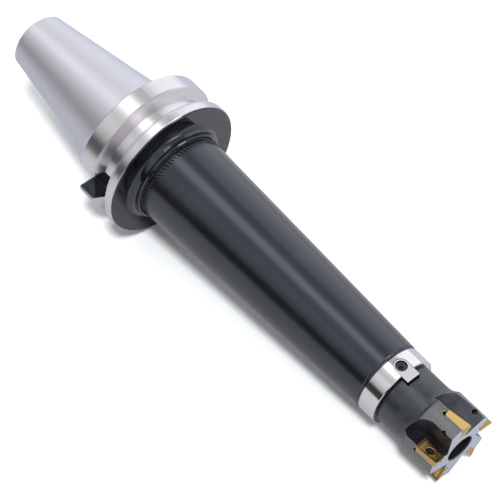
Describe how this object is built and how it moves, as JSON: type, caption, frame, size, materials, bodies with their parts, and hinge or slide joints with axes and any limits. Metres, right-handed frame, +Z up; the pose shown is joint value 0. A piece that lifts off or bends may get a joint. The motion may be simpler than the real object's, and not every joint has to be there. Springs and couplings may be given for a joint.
{
  "type": "face mill",
  "caption": "Shell-type face mill with screwed-on parallelogram inserts, clamped to a long tapered arbor with a steep 7/24 shank, a grooved flange and drive keys.",
  "frame": {"origin": "centre of the gauge circle of the 7/24 taper, on the tool's axis", "axes": "+X along the tool's axis from the taper towards the cutting teeth, +Z up with the tool lying flat, +Y completes the right-handed frame and points through one drive keyway of the flange"},
  "size_m": [0.4017, 0.1, 0.1],
  "materials": {
    "arbor_steel": "ground bright on taper, flange and nose ring; black oxide on the body and neck",
    "key_steel": "ground steel",
    "black_screw": "black oxide alloy steel",
    "cutter_steel": "black oxide, with a ground bright front face",
    "gold_insert": "gold titanium nitride on carbide",
    "screw_steel": "dark phosphated steel"
  },
  "bodies": {
    "arbor": {"arbor": "arbor_steel", "drive_key_1": "key_steel", "drive_key_2": "key_steel"},
    "key_screw_1": {"drive_key_screw_1": "black_screw"},
    "key_screw_2": {"drive_key_screw_2": "black_screw"},
    "cutter": {"cutter_body": "cutter_steel"},
    "clamp_screw": {"retaining_screw": "black_screw"},
    "insert_1": {"insert_1": "gold_insert"},
    "insert_screw_1": {"insert_screw_1": "screw_steel"},
    "insert_2": {"insert_2": "gold_insert"},
    "insert_screw_2": {"insert_screw_2": "screw_steel"},
    "insert_3": {"insert_3": "gold_insert"},
    "insert_screw_3": {"insert_screw_3": "screw_steel"},
    "insert_4": {"insert_4": "gold_insert"},
    "insert_screw_4": {"insert_screw_4": "screw_steel"},
    "insert_5": {"insert_5": "gold_insert"},
    "insert_screw_5": {"insert_screw_5": "screw_steel"}
  },
  "joints": [
    {"name": "cutter_pull_off", "type": "slide", "parent": "arbor", "child": "cutter", "axis": [1, 0, 0], "range_m": [0, 0.045]},
    {"name": "clamp_screw_turn", "type": "hinge", "parent": "cutter", "child": "clamp_screw", "pos_m": [0.2785, 0, 0], "axis": [1, 0, 0], "continuous": true},
    {"name": "key_screw_turn_1", "type": "hinge", "parent": "arbor", "child": "key_screw_1", "pos_m": [0.2448, 0, 0.0184], "axis": [0, 0, 1], "continuous": true},
    {"name": "key_screw_turn_2", "type": "hinge", "parent": "arbor", "child": "key_screw_2", "pos_m": [0.2448, 0, -0.0184], "axis": [0, 0, -1], "continuous": true},
    {"name": "insert_lift_1", "type": "slide", "parent": "cutter", "child": "insert_1", "axis": [-0.0349, 0.3385, -0.9403], "range_m": [0, 0.008]},
    {"name": "insert_screw_turn_1", "type": "hinge", "parent": "insert_1", "child": "insert_screw_1", "pos_m": [0.29137, 0.01966, 0.0046], "axis": [-0.0349, 0.3385, -0.9403], "continuous": true},
    {"name": "insert_lift_2", "type": "slide", "parent": "cutter", "child": "insert_2", "axis": [-0.0349, 0.9989, 0.0314], "range_m": [0, 0.008]},
    {"name": "insert_screw_turn_2", "type": "hinge", "parent": "insert_2", "child": "insert_screw_2", "pos_m": [0.29137, 0.0017, 0.02012], "axis": [-0.0349, 0.9989, 0.0314], "continuous": true},
    {"name": "insert_lift_3", "type": "slide", "parent": "cutter", "child": "insert_3", "axis": [-0.0349, 0.2788, 0.9597], "range_m": [0, 0.008]},
    {"name": "insert_screw_turn_3", "type": "hinge", "parent": "insert_3", "child": "insert_screw_3", "pos_m": [0.29137, -0.01861, 0.00783], "axis": [-0.0349, 0.2788, 0.9597], "continuous": true},
    {"name": "insert_lift_4", "type": "slide", "parent": "cutter", "child": "insert_4", "axis": [-0.0349, -0.8266, 0.5617], "range_m": [0, 0.008]},
    {"name": "insert_screw_turn_4", "type": "hinge", "parent": "insert_4", "child": "insert_screw_4", "pos_m": [0.29137, -0.0132, -0.01528], "axis": [-0.0349, -0.8266, 0.5617], "continuous": true},
    {"name": "insert_lift_5", "type": "slide", "parent": "cutter", "child": "insert_5", "axis": [-0.0349, -0.7897, -0.6125], "range_m": [0, 0.008]},
    {"name": "insert_screw_turn_5", "type": "hinge", "parent": "insert_5", "child": "insert_screw_5", "pos_m": [0.29137, 0.01045, -0.01727], "axis": [-0.0349, -0.7897, -0.6125], "continuous": true}
  ]
}
